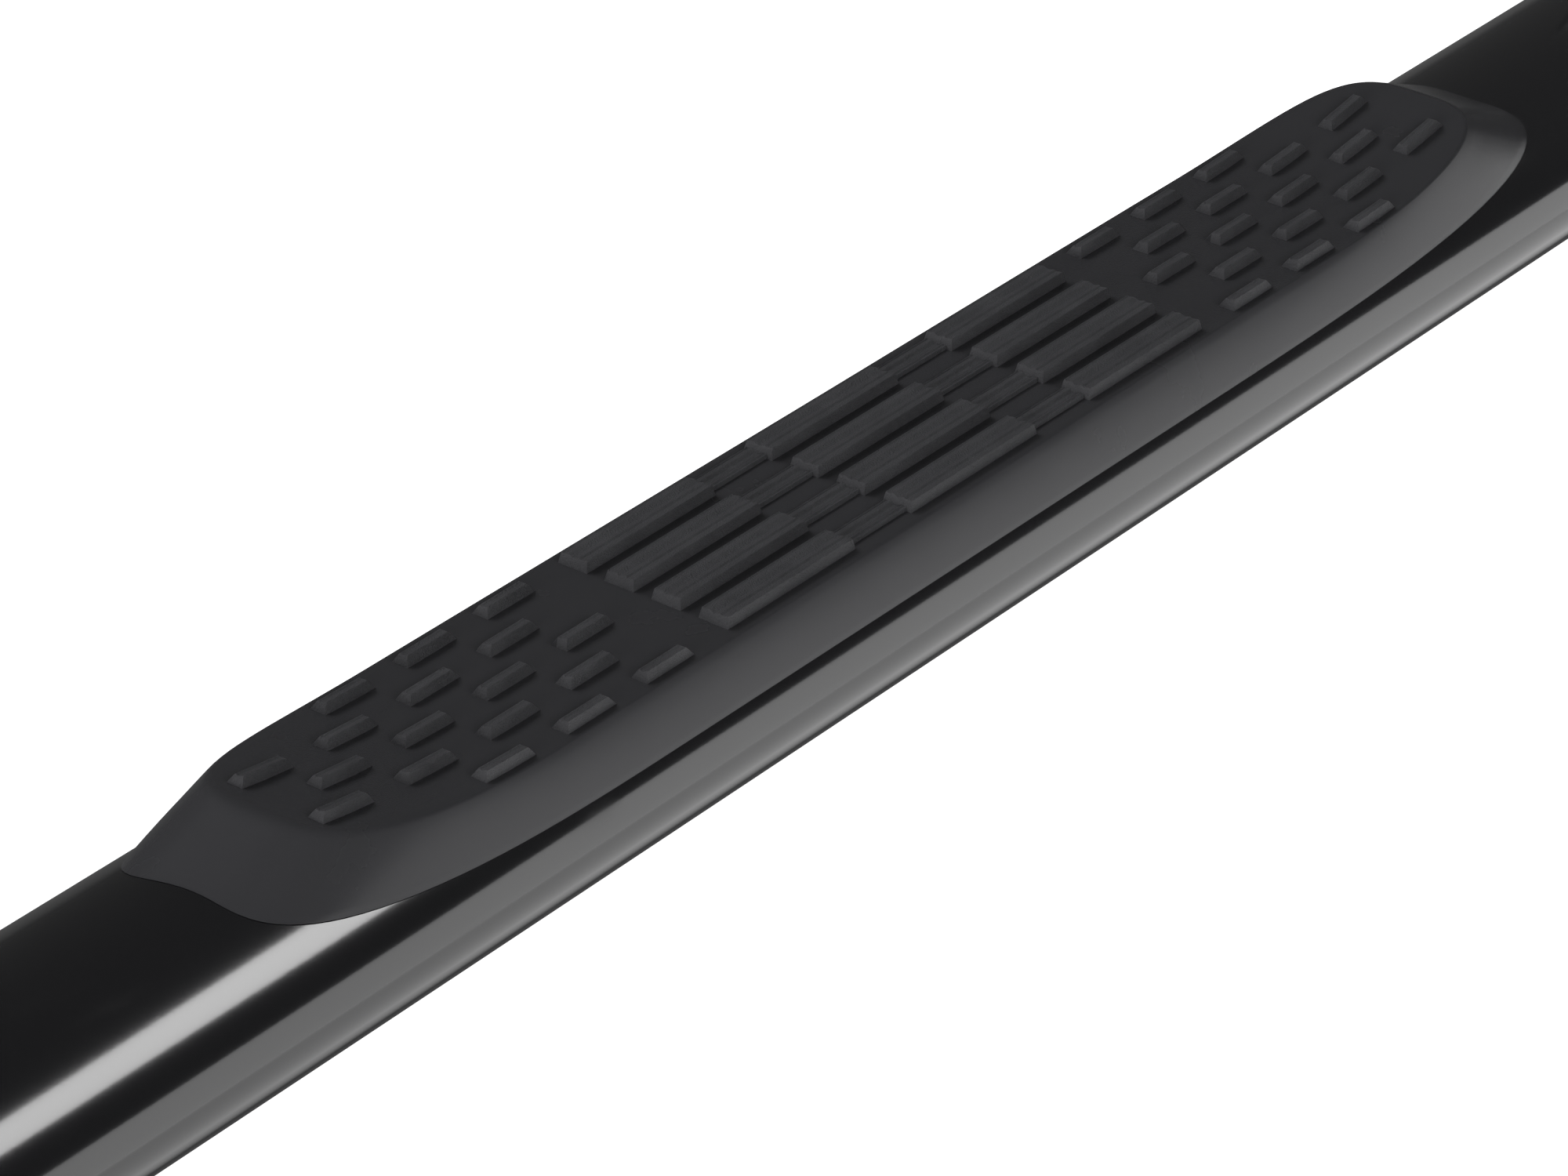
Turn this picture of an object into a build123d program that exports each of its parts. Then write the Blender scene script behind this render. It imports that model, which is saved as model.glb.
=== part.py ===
from build123d import *
import os
from math import atan2, cos, degrees, pi, radians, sin, sqrt

# Running board for a pickup or van: a straight oval steel tube with one moulded step pad, plastic
# end caps, and two bolted bracket sets that hang it from the vehicle.
# Millimetres. +X runs along the tube towards the vehicle's front, +Y points inboard to the
# vehicle, +Z is up. The origin is under the middle of the board, level with its lowest edge.

# ---- driving dimensions -------------------------------------------------------------------
TUBE_WIDTH = 101.6
TUBE_HEIGHT = 50.8
TUBE_WALL = 2.0
TUBE_LENGTH = 1500.0

TREAD_RISE = 7.7            # tread floor above the tube's crown, at mid-length
TREAD_FLAT = 200.0          # half-length of the level stretch of the tread
TREAD_TIP_RADIUS = 490.0    # the tread's tips curve up on this radius
RIB_HEIGHT = 3.7            # raised ribs and blocks above the tread floor
RIB_DRAFT = 0.8
LINK_HEIGHT = 1.5           # low links between the long ribs
PAD_WALL = 3.2
PAD_FLOOR = 3.5
SEAT_GAP = 0.05             # between curved faces that rest on each other

BRACKET_X = 640.0           # bracket centres, either side of mid-length
BRACKET_WIDTH = 70.0
PLATE = 5.0                 # bracket plate thickness
SADDLE_DEPTH = 4.0          # rubber below the tube's lowest line
ARM_REACH = 112.0           # tube axis to the arm's inboard face
ARM_TOE = 34.0              # arm's outboard end, out from the tube axis
ARM_SKIRT = 12.0            # turned-down flanges below the arm's web
LEG_TOP = 46.0              # arm's upright leg, above the tube axis
HANGER_TOP = 118.0
HANGER_JOGGLE = 16.0        # how far the hanger's head steps inboard
HANGER_HEAD_WIDTH = 110.0
HANGER_STEM_WIDTH = 50.0
VEHICLE_HOLE_SPACING = 60.0
VEHICLE_SLOT_LENGTH = 22.0
VEHICLE_SLOT_WIDTH = 11.0
VEHICLE_HOLE_LEVEL = 98.0   # above the tube axis

M8_SHANK = 4.0
M8_HOLE = 4.5
M8_THREAD = 4.05
M8_ACROSS_FLATS = 13.0
M8_HEAD = 5.3
M8_NUT = 6.5
M8_BOLT_LENGTH = 30.0
TIP_CHAMFER = 0.8
WASHER = 1.6
WASHER_RADIUS = 8.0
WASHER_BORE = 4.2
LOCK_WASHER = 2.1
LOCK_WASHER_RADIUS = 6.6
LOCK_WASHER_BORE = 4.1
FOOT_BOLT_X = 18.0          # two tube bolts per bracket, either side of its centre
HANGER_BOLT_LEVELS = (2.0, 32.0)
HANGER_BOLT_LENGTH = 25.0

# ---- places worked out from them ----------------------------------------------------------
HALF_W = TUBE_WIDTH / 2
HALF_H = TUBE_HEIGHT / 2
ARM_TOP = -HALF_H - SADDLE_DEPTH                    # top of the arm's web, from the tube axis
ARM_BOTTOM = ARM_TOP - PLATE
LOWEST = ARM_BOTTOM - ARM_SKIRT
HANGER_BACK = ARM_REACH + PLATE + HANGER_JOGGLE     # face that meets the vehicle
TUBE_Y = (HALF_W - HANGER_BACK) / 2
TUBE_Z = -LOWEST
HALF_L = TUBE_LENGTH / 2
TREAD_Z = HALF_H + TREAD_RISE
SIDES = (("front", BRACKET_X), ("rear", -BRACKET_X))

os.makedirs("parts", exist_ok=True)


def across(x=0.0):
    """Plane across the tube at x: its own x runs inboard, its y up, its origin on the tube axis."""
    return Plane(origin=(x, TUBE_Y, TUBE_Z), x_dir=(0, 1, 0), z_dir=(1, 0, 0))


def level(height):
    """Level plane at a height above the tube axis, centred on it."""
    return Plane.XY.offset(TUBE_Z + height).move(Location((0, TUBE_Y, 0)))


def upright(y):
    """Upright plane along the tube, y inboard of its axis: its x is X and its normal faces inboard."""
    return Plane(origin=(0, TUBE_Y + y, TUBE_Z), x_dir=(-1, 0, 0), z_dir=(0, 1, 0))


def save(builder, name):
    builder.part.label = name
    export_step(builder.part, f"parts/{name}.step")


def at_brackets(offset):
    """Both brackets' copies of a pair of points, offset either side of each centre."""
    return [centre + side * offset for _, centre in SIDES for side in (-1, 1)]


# ---- oval tube ----------------------------------------------------------------------------
CLIP_SPACING = 98.0
CLIP_X = [CLIP_SPACING * (step - 2.5) for step in range(6)]
CLIP_HOLE = 4.6
CAP_SCREW_X = HALF_L - 12.0
CAP_SCREW_HOLE = 2.2
DRAIN_X = HALF_L - 60.0
DRAIN_HOLE = 5.0

with BuildPart() as side_tube:
    with BuildSketch(across(-HALF_L)):
        Ellipse(HALF_W, HALF_H)
        Ellipse(HALF_W - TUBE_WALL, HALF_H - TUBE_WALL, mode=Mode.SUBTRACT)
    extrude(amount=TUBE_LENGTH)
    with BuildSketch(level(0)):
        with Locations([(x, 0) for x in CLIP_X]):
            Circle(CLIP_HOLE)
    extrude(amount=HALF_H + 1, mode=Mode.SUBTRACT)
    with BuildSketch(level(0)):
        with Locations([(x, 0) for x in at_brackets(FOOT_BOLT_X)]):
            Circle(M8_HOLE)
        with Locations((-CAP_SCREW_X, 0), (CAP_SCREW_X, 0)):
            Circle(CAP_SCREW_HOLE)
        with Locations((-DRAIN_X, 0), (DRAIN_X, 0)):
            Circle(DRAIN_HOLE)
    extrude(amount=-HALF_H - 1, mode=Mode.SUBTRACT)
save(side_tube, "side_tube")

# ---- step pad -----------------------------------------------------------------------------
PAD_LEVELS = (10.0, 16.0, 22.0, 28.0, 34.0, 40.0, 46.0)
PAD_BOTTOM = PAD_LEVELS[0]  # the pad's lowest section, before the tube is cut away
PAD_TOP = PAD_LEVELS[-1]
FLANK_FOOT = 13.4           # where the pad's sides meet the tube at mid-length
FLANK_HALF_WIDTH = 43.2
TREAD_HALF_WIDTH = 36.2
FLANK_CURVE = 1.35          # the sides draw in slowly at the foot and faster towards the tread
TREAD_SHIFT = -1.0          # the tread's middle line, from the tube's axis
LIP_LEVEL = 42.0            # height of the tread's tips
STRAIGHT_HIGH = 215.0       # half-length of the straight sides at that height
BLUNTNESS_HIGH = 3.4        # and superellipse power of the rounded ends
INBOARD_BLUNTNESS = 2.2     # added to the power at the foot of the inboard corners, which are squarer
# each end: reach from mid-length to the tube's crown, lean back for each millimetre of height,
# and the straight half-length and superellipse power at its foot
FRONT_END = (330.0, 2.2, 100.0, 3.4)
REAR_END = (313.0, 1.38, 150.0, 3.0)
CROSS_WEB_PITCH = 45.0      # webs under the tread
CROSS_WEBS = 13
LONG_WEB_Y = 18.0
WEB = 2.2
BOSS_RADIUS = 9.5
CLIP_HEAD = 6.3
CLIP_NECK = 4.0
CLIP_SEAT = 2.6             # clip's head above the tube's crown
CLIP_POCKET = 1.6
POCKET_PLAY = 0.3
KEYHOLE_RUN = BOSS_RADIUS + 2


def pad_half_width(z):
    drop = (max(z, FLANK_FOOT) - FLANK_FOOT) / (TREAD_Z - FLANK_FOOT)
    return FLANK_HALF_WIDTH - (FLANK_HALF_WIDTH - TREAD_HALF_WIDTH) * drop**FLANK_CURVE


def end_quarter(z, inset, end, squarer):
    """Points from the pad's inboard side round to its front nose, at a level."""
    reach, slope, straight_low, bluntness_low = end
    rise = (z - FLANK_FOOT) / (LIP_LEVEL - FLANK_FOOT)
    straight = straight_low + (STRAIGHT_HIGH - straight_low) * rise
    power = bluntness_low + (BLUNTNESS_HIGH - bluntness_low) * rise
    power += squarer * (1 - min(max(rise, 0), 1))
    nose = reach - slope * (z - HALF_H) - inset - straight
    half = pad_half_width(z) - inset
    turns = [radians(angle) for angle in (90, 70, 52, 36, 22, 10, 0)]
    return [(straight + nose * cos(t) ** (2 / power), half * sin(t) ** (2 / power)) for t in turns]


def end_outline(z, inset, end):
    """Points round the front end at a level, from its inboard side to its outboard side."""
    shift = TREAD_SHIFT * (z - FLANK_FOOT) / (TREAD_Z - FLANK_FOOT)
    inboard = end_quarter(z, inset, end, INBOARD_BLUNTNESS)
    outboard = end_quarter(z, inset, end, 0)
    return [(x, y + shift) for x, y in inboard] + [(x, shift - y) for x, y in outboard[-2::-1]]


def pad_section(z, inset):
    """One level outline of the pad: straight sides between its two rounded ends."""
    front = end_outline(z, inset, FRONT_END)
    rear = [(-x, y) for x, y in end_outline(z, inset, REAR_END)[::-1]]
    with BuildSketch(level(z)) as section:
        with BuildLine():
            Spline(front, tangents=((1, 0), (-1, 0)))
            Line(front[-1], rear[0])
            Spline(rear, tangents=((-1, 0), (1, 0)))
            Line(rear[-1], front[0])
        make_face()
    return section.sketch


def pad_block(inset):
    with BuildPart() as block:
        loft([pad_section(z, inset) for z in PAD_LEVELS])
    return block.part


def above_tread(lift, reach=420.0, sky=90.0):
    """Everything higher than the tread floor plus lift: level in the middle, curving up at both tips."""
    tip_rise = TREAD_TIP_RADIUS - sqrt(TREAD_TIP_RADIUS**2 - (reach - TREAD_FLAT) ** 2)
    floor = TREAD_Z + lift
    side = Plane(origin=(0, TUBE_Y, TUBE_Z), x_dir=(1, 0, 0), z_dir=(0, -1, 0))
    with BuildPart() as above:
        with BuildSketch(side):
            with BuildLine():
                Line((-TREAD_FLAT, floor), (TREAD_FLAT, floor))
                TangentArc((TREAD_FLAT, floor), (reach, floor + tip_rise), tangent=(1, 0))
                Polyline((reach, floor + tip_rise), (reach, sky), (-reach, sky), (-reach, floor + tip_rise))
                TangentArc((-TREAD_FLAT, floor), (-reach, floor + tip_rise), tangent=(-1, 0))
            make_face()
        extrude(amount=HALF_W, both=True)
    return above.part


ROW_PITCH = 17.76
ROWS = [ROW_PITCH * (row - 1.5) + TREAD_SHIFT for row in range(4)]
RIB_WIDTH = 11.6
RIB_TAPER = degrees(atan2(RIB_DRAFT, RIB_HEIGHT))
RIB_SPANS = ((-120.8, -59.2), (-32.2, 32.2), (59.2, 120.8))
RIB_END = 130.0             # beyond the last rib's end
LINK_SPANS = ((-59.2, -32.2), (32.2, 59.2))
LINK_INSETS = (2.2, 0.7)    # link is narrower than the rib, outboard and inboard
BLOCK_LENGTH = 23.0
BLOCK_WIDTH = 7.2
BLOCK_PITCH = 35.5
BLOCK_ROWS = ((0.0, 148.0, 4), (30.0, 148.0, 3), (-30.0, 148.0, 3), (15.0, 164.0, 4), (-15.0, 164.0, 4))
RIB_GROOVES = ((3.4, 0.5), (6.2, 0.8), (9.4, 0.4))   # inboard distance across the rib, depth
GROOVE_RUN = 0.9
ROOT = 1.0                  # ribs and blocks start this far inside the tread


def block_places():
    """Centres of the short blocks at both ends of the tread."""
    return [
        (end * (start + BLOCK_PITCH * step), y + TREAD_SHIFT)
        for y, start, count in BLOCK_ROWS
        for step in range(count)
        for end in (-1, 1)
    ]


def tread_pattern():
    """Ribs, links and blocks, standing on the tread floor and following its curve."""
    with BuildPart() as pattern:
        with BuildSketch(level(TREAD_Z - ROOT)):
            for start, end in RIB_SPANS:
                with Locations([((start + end) / 2, y) for y in ROWS]):
                    Rectangle(end - start, RIB_WIDTH)
            with Locations(block_places()):
                Rectangle(BLOCK_LENGTH, BLOCK_WIDTH)
        extrude(amount=PAD_TOP - TREAD_Z + RIB_HEIGHT, taper=RIB_TAPER)
        add(above_tread(RIB_HEIGHT), mode=Mode.SUBTRACT)
        link_width = RIB_WIDTH - sum(LINK_INSETS)
        link_shift = (LINK_INSETS[0] - LINK_INSETS[1]) / 2
        with BuildSketch(level(TREAD_Z - ROOT)):
            for start, end in LINK_SPANS:
                with Locations([((start + end) / 2, y + link_shift) for y in ROWS]):
                    Rectangle(end - start, link_width)
        extrude(amount=ROOT + LINK_HEIGHT)
        for across_rib, depth in RIB_GROOVES:
            with BuildSketch(across(0)):
                with Locations([(y - RIB_WIDTH / 2 + across_rib, TREAD_Z + RIB_HEIGHT) for y in ROWS]):
                    Polygon((-GROOVE_RUN, 0), (0, -depth), (GROOVE_RUN, 0), align=None)
            extrude(amount=RIB_END, both=True, mode=Mode.SUBTRACT)
    return pattern.part


tread_sky = above_tread(0)
floor_sky = above_tread(-PAD_FLOOR)
outer_block = pad_block(0)
inner_block = pad_block(PAD_WALL)
raised = tread_pattern()

with BuildPart() as pad_cavity:
    add(inner_block)
    add(floor_sky, mode=Mode.SUBTRACT)

with BuildPart() as pad_webs:
    with BuildSketch(level(PAD_BOTTOM)):
        with GridLocations(CROSS_WEB_PITCH, 0, CROSS_WEBS, 1):
            Rectangle(WEB, TUBE_WIDTH)
        with Locations((0, -LONG_WEB_Y), (0, LONG_WEB_Y)):
            Rectangle(2 * FRONT_END[0], WEB)
        with Locations([(x, 0) for x in CLIP_X]):
            Circle(BOSS_RADIUS)
    extrude(amount=PAD_TOP - PAD_BOTTOM)
    add(pad_cavity.part, mode=Mode.INTERSECT)

with BuildPart() as step_pad:
    add(outer_block)
    add(tread_sky, mode=Mode.SUBTRACT)
    add(pad_cavity.part, mode=Mode.SUBTRACT)
    add(pad_webs.part)
    add(raised)
    with BuildSketch(across(0)):
        Ellipse(HALF_W + SEAT_GAP, HALF_H + SEAT_GAP)
    extrude(amount=HALF_L, both=True, mode=Mode.SUBTRACT)
    # keyhole pockets that the clips slide into from the inboard side
    with BuildSketch(level(HALF_H - 1)):
        with Locations([(x, 0) for x in CLIP_X]):
            Circle(CLIP_NECK + POCKET_PLAY)
        with Locations([(x, KEYHOLE_RUN / 2) for x in CLIP_X]):
            Rectangle(2 * (CLIP_NECK + POCKET_PLAY), KEYHOLE_RUN)
    extrude(amount=CLIP_SEAT + 1, mode=Mode.SUBTRACT)
    with BuildSketch(level(HALF_H + CLIP_SEAT)):
        with Locations([(x, 0) for x in CLIP_X]):
            Circle(CLIP_HEAD + POCKET_PLAY)
        with Locations([(x, KEYHOLE_RUN / 2) for x in CLIP_X]):
            Rectangle(2 * (CLIP_HEAD + POCKET_PLAY), KEYHOLE_RUN)
    extrude(amount=CLIP_POCKET, mode=Mode.SUBTRACT)
save(step_pad, "step_pad")

# ---- clips that hold the pad to the tube --------------------------------------------------
CLIP_BARB = 6.1
CLIP_TIP = 2.8
CLIP_BARB_LENGTH = 8.0
CLIP_PLAY = 0.1
CLIP_OVERLAP = 0.5          # how far the neck runs on into the barb

with BuildPart() as pad_clips:
    with BuildSketch(level(HALF_H + CLIP_SEAT + CLIP_PLAY)):
        with Locations([(x, 0) for x in CLIP_X]):
            Circle(CLIP_HEAD)
    extrude(amount=CLIP_POCKET - 2 * CLIP_PLAY)
    with BuildSketch(level(HALF_H + CLIP_SEAT + CLIP_PLAY)):
        with Locations([(x, 0) for x in CLIP_X]):
            Circle(CLIP_NECK)
    extrude(amount=-(TUBE_WALL + CLIP_SEAT + 2 * CLIP_PLAY + CLIP_OVERLAP))
    barb_top = HALF_H - TUBE_WALL - 4 * CLIP_PLAY
    for x in CLIP_X:
        with Locations(Location((x, TUBE_Y, TUBE_Z + barb_top - CLIP_BARB_LENGTH / 2))):
            Cone(CLIP_TIP, CLIP_BARB, CLIP_BARB_LENGTH)
save(pad_clips, "pad_clips")

# ---- end caps -----------------------------------------------------------------------------
CAP_FACE = 7.0
CAP_PLUG = 24.0
CAP_WALL = 2.8
CAP_FIT = 0.25              # plug to tube bore
CAP_BOSS = 9.0
CAP_EDGE = 5.0              # rounding of the face's rim
CAP_SCREW_SHANK = 1.9
CAP_PILOT = 1.95


def end_cap(end):
    """Domed face outside the tube, a plug inside it, and a boss that takes the screw from below."""
    outward = Plane(origin=(end * HALF_L, TUBE_Y, TUBE_Z), x_dir=(0, end, 0), z_dir=(end, 0, 0))
    bore_w = HALF_W - TUBE_WALL - CAP_FIT
    bore_h = HALF_H - TUBE_WALL - CAP_FIT
    with BuildPart() as cap:
        with BuildSketch(outward):
            Ellipse(HALF_W, HALF_H)
        extrude(amount=CAP_FACE)
        fillet(cap.faces().sort_by(Axis.X)[-1 if end > 0 else 0].edges(), radius=CAP_EDGE)
        with BuildSketch(outward):
            Ellipse(bore_w, bore_h)
            Ellipse(bore_w - CAP_WALL, bore_h - CAP_WALL, mode=Mode.SUBTRACT)
        extrude(amount=-CAP_PLUG)
        with BuildSketch(outward):
            Ellipse(bore_w, bore_h)
            with Locations((0, -bore_h)):
                Rectangle(CAP_BOSS, 2 * CAP_BOSS, mode=Mode.INTERSECT)
        extrude(amount=-CAP_PLUG)
        with BuildSketch(level(0)):
            with Locations((end * CAP_SCREW_X, 0)):
                Circle(CAP_PILOT)
        extrude(amount=-HALF_H, mode=Mode.SUBTRACT)
    return cap


for name, end in (("front_end_cap", 1), ("rear_end_cap", -1)):
    save(end_cap(end), name)

CAP_SCREW_HEAD = 4.0
CAP_SCREW_HEAD_HEIGHT = 2.6
CAP_SCREW_LENGTH = 12.0
CAP_SCREW_ROUND = 1.2
CROSS_LENGTH = 4.2          # the cross recess in its head
CROSS_WIDTH = 1.0
CROSS_DEPTH = 1.4
with BuildPart() as end_cap_screws:
    with BuildSketch(level(-HALF_H)):
        with Locations((-CAP_SCREW_X, 0), (CAP_SCREW_X, 0)):
            Circle(CAP_SCREW_HEAD)
    extrude(amount=-CAP_SCREW_HEAD_HEIGHT)
    fillet(end_cap_screws.faces().group_by(Axis.Z)[0].edges(), radius=CAP_SCREW_ROUND)
    with BuildSketch(level(-HALF_H)):
        with Locations((-CAP_SCREW_X, 0), (CAP_SCREW_X, 0)):
            Circle(CAP_SCREW_SHANK)
    extrude(amount=CAP_SCREW_LENGTH)
    with BuildSketch(level(-HALF_H - CAP_SCREW_HEAD_HEIGHT)):
        with Locations((-CAP_SCREW_X, 0), (CAP_SCREW_X, 0)):
            Rectangle(CROSS_LENGTH, CROSS_WIDTH)
            Rectangle(CROSS_WIDTH, CROSS_LENGTH)
    extrude(amount=CROSS_DEPTH, mode=Mode.SUBTRACT)
save(end_cap_screws, "end_cap_screws")

# ---- nut plates inside the tube -----------------------------------------------------------
NUT_PLATE = 5.0
NUT_PLATE_LENGTH = 64.0
NUT_PLATE_WIDTH = 30.0
BORE_H = HALF_H - TUBE_WALL
NUT_SEAT = -BORE_H + NUT_PLATE


def nut_plate(centre):
    """Strip that beds on the tube's bore, with its top flat for the nuts."""
    with BuildPart() as strip:
        with BuildSketch(across(centre - NUT_PLATE_LENGTH / 2)):
            Ellipse(HALF_W - TUBE_WALL - SEAT_GAP, BORE_H - SEAT_GAP)
            with Locations((0, NUT_SEAT - NUT_PLATE)):
                Rectangle(NUT_PLATE_WIDTH, 2 * NUT_PLATE, mode=Mode.INTERSECT)
        extrude(amount=NUT_PLATE_LENGTH)
        with BuildSketch(level(-HALF_H)):
            with Locations((centre - FOOT_BOLT_X, 0), (centre + FOOT_BOLT_X, 0)):
                Circle(M8_THREAD)
        extrude(amount=HALF_H, mode=Mode.SUBTRACT)
    return strip


for side, centre in SIDES:
    save(nut_plate(centre), f"{side}_nut_plate")

FOOT_BOLTS = [(x, 0) for x in at_brackets(FOOT_BOLT_X)]
with BuildPart() as nut_plate_nuts:
    with BuildSketch(level(NUT_SEAT)):
        with Locations(FOOT_BOLTS):
            RegularPolygon(M8_ACROSS_FLATS / 2, 6, major_radius=False)
            Circle(M8_THREAD, mode=Mode.SUBTRACT)
    extrude(amount=M8_NUT)
save(nut_plate_nuts, "nut_plate_nuts")

# ---- rubber saddles under the tube --------------------------------------------------------
SADDLE_HALF_WIDTH = 32.0
SADDLE_LENGTH = BRACKET_WIDTH - 4
SADDLE_CORNER = 5.0


def saddle(centre):
    """Rubber block, flat below and hollowed above to the tube."""
    with BuildPart() as block:
        with BuildSketch(level(ARM_TOP)):
            with Locations((centre, 0)):
                RectangleRounded(SADDLE_LENGTH, 2 * SADDLE_HALF_WIDTH, SADDLE_CORNER)
        extrude(amount=HALF_H / 2)
        with BuildSketch(across(centre - BRACKET_WIDTH)):
            Ellipse(HALF_W + SEAT_GAP, HALF_H + SEAT_GAP)
        extrude(amount=2 * BRACKET_WIDTH, mode=Mode.SUBTRACT)
        with BuildSketch(level(ARM_TOP)):
            with Locations((centre - FOOT_BOLT_X, 0), (centre + FOOT_BOLT_X, 0)):
                Circle(M8_HOLE)
        extrude(amount=HALF_H, mode=Mode.SUBTRACT)
    return block


for side, centre in SIDES:
    save(saddle(centre), f"{side}_saddle")

# ---- bracket arms -------------------------------------------------------------------------
BEND = 3.0                  # inner radius of the arm's bend
GUSSET_X = 24.0
GUSSET_REACH = 47.0
GUSSET_RISE = 52.0
GUSSET_NOSE = 6.0           # blunt ends of its slope
LEG_CORNER = 12.0
HANGER_TAIL = 14.0          # hanger below its lower bolt
JOGGLE_LEVEL = 56.0         # where the hanger's inner face starts to step inboard
JOGGLE_LAG = 2.0            # its outer face starts this much lower, so the plate keeps its thickness
HEAD_CORNER = 14.0
BOLT_SLOT_LENGTH = 20.0


def bracket_arm(centre):
    """Pressed arm: web under the tube, upright leg, and turned-down flanges that stiffen the web."""
    start = across(centre - BRACKET_WIDTH / 2)
    with BuildPart() as arm:
        with BuildSketch(start):
            with BuildLine():
                Polyline(
                    (-ARM_TOE, ARM_TOP),
                    (ARM_REACH - PLATE, ARM_TOP),
                    (ARM_REACH - PLATE, LEG_TOP),
                    (ARM_REACH, LEG_TOP),
                    (ARM_REACH, ARM_BOTTOM),
                    (-ARM_TOE, ARM_BOTTOM),
                    close=True,
                )
            make_face()
        extrude(amount=BRACKET_WIDTH)
        bend_inside = (centre, TUBE_Y + ARM_REACH - PLATE, TUBE_Z + ARM_TOP)
        bend_outside = (centre, TUBE_Y + ARM_REACH, TUBE_Z + ARM_BOTTOM)
        fillet(arm.edges().filter_by(Axis.X).sort_by_distance(bend_inside)[0], radius=BEND)
        fillet(arm.edges().filter_by(Axis.X).sort_by_distance(bend_outside)[0], radius=BEND + PLATE)
        fillet(arm.edges().filter_by(Axis.Y).group_by(Axis.Z)[-1], radius=LEG_CORNER)
        for plane in (start, across(centre + BRACKET_WIDTH / 2 - PLATE)):
            with BuildSketch(plane):
                with BuildLine():
                    Polyline(
                        (-ARM_TOE, ARM_BOTTOM),
                        (ARM_REACH - BEND - PLATE, ARM_BOTTOM),
                        (ARM_REACH - 2 * ARM_SKIRT, LOWEST),
                        (ARM_SKIRT / 2 - ARM_TOE, LOWEST),
                        close=True,
                    )
                make_face()
            extrude(amount=PLATE)
        with BuildSketch(level(ARM_TOP)):
            with Locations((centre - FOOT_BOLT_X, 0), (centre + FOOT_BOLT_X, 0)):
                Circle(M8_HOLE)
        extrude(amount=-PLATE, mode=Mode.SUBTRACT)
        with BuildSketch(upright(ARM_REACH)):
            with Locations([(-centre, z) for z in HANGER_BOLT_LEVELS]):
                Circle(M8_HOLE)
        extrude(amount=-PLATE, mode=Mode.SUBTRACT)
    return arm


def gussets(centre):
    """Two triangular plates welded into the arm's corner."""
    corner_y = ARM_REACH - PLATE
    snipe = BEND + 1
    with BuildPart() as pair:
        for shift in (-GUSSET_X, GUSSET_X):
            with BuildSketch(across(centre + shift - PLATE / 2)):
                with BuildLine():
                    Polyline(
                        (corner_y - GUSSET_REACH, ARM_TOP),
                        (corner_y - snipe, ARM_TOP),
                        (corner_y, ARM_TOP + snipe),
                        (corner_y, ARM_TOP + GUSSET_RISE),
                        (corner_y - GUSSET_NOSE, ARM_TOP + GUSSET_RISE),
                        (corner_y - GUSSET_REACH, ARM_TOP + GUSSET_NOSE),
                        close=True,
                    )
                make_face()
            extrude(amount=PLATE)
    return pair


def hanger(centre):
    """Plate that bolts to the arm, steps inboard and carries the slots for the vehicle's studs."""
    low = HANGER_BOLT_LEVELS[0] - HANGER_TAIL
    step_low = JOGGLE_LEVEL
    step_high = step_low + HANGER_JOGGLE
    inner = ARM_REACH
    margin = 4.0            # the cutter that narrows the stem runs this far past the plate
    with BuildPart() as plate:
        with BuildSketch(across(centre - HANGER_HEAD_WIDTH / 2)):
            with BuildLine():
                Polyline(
                    (inner, low),
                    (inner + PLATE, low),
                    (inner + PLATE, step_low - JOGGLE_LAG),
                    (HANGER_BACK, step_high - JOGGLE_LAG),
                    (HANGER_BACK, HANGER_TOP),
                    (HANGER_BACK - PLATE, HANGER_TOP),
                    (HANGER_BACK - PLATE, step_high),
                    (inner, step_low),
                    close=True,
                )
            make_face()
        extrude(amount=HANGER_HEAD_WIDTH)
        with BuildSketch(upright(HANGER_BACK)):
            with Locations((-centre, (low + step_high) / 2)):
                Rectangle(HANGER_HEAD_WIDTH + 2 * margin, step_high - low + 2 * margin)
                Rectangle(HANGER_STEM_WIDTH, step_high - low + 2 * margin, mode=Mode.SUBTRACT)
        extrude(amount=-PLATE - HANGER_JOGGLE, mode=Mode.SUBTRACT)
        rounded = plate.edges().filter_by(Axis.Y).filter_by(lambda e: e.center().Z > TUBE_Z + HANGER_TOP - 1)
        fillet(rounded, radius=HEAD_CORNER)
        with BuildSketch(upright(HANGER_BACK)):
            with Locations([(-centre + s * VEHICLE_HOLE_SPACING / 2, VEHICLE_HOLE_LEVEL) for s in (-1, 1)]):
                SlotOverall(VEHICLE_SLOT_LENGTH, VEHICLE_SLOT_WIDTH)
            with Locations([(-centre, z) for z in HANGER_BOLT_LEVELS]):
                SlotOverall(BOLT_SLOT_LENGTH, 2 * M8_HOLE, rotation=90)
        extrude(amount=-PLATE - HANGER_JOGGLE, mode=Mode.SUBTRACT)
    return plate


for side, centre in SIDES:
    save(bracket_arm(centre), f"{side}_bracket_arm")
    save(gussets(centre), f"{side}_bracket_gussets")
    save(hanger(centre), f"{side}_hanger_plate")


# ---- fasteners ----------------------------------------------------------------------------
def rings(plane, places, outer, inner, depth):
    """Washers or spacers: flat rings at each place, depth along the plane's normal."""
    with BuildPart() as ring:
        with BuildSketch(plane):
            with Locations(places):
                Circle(outer)
                Circle(inner, mode=Mode.SUBTRACT)
        extrude(amount=depth)
    return ring


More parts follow.
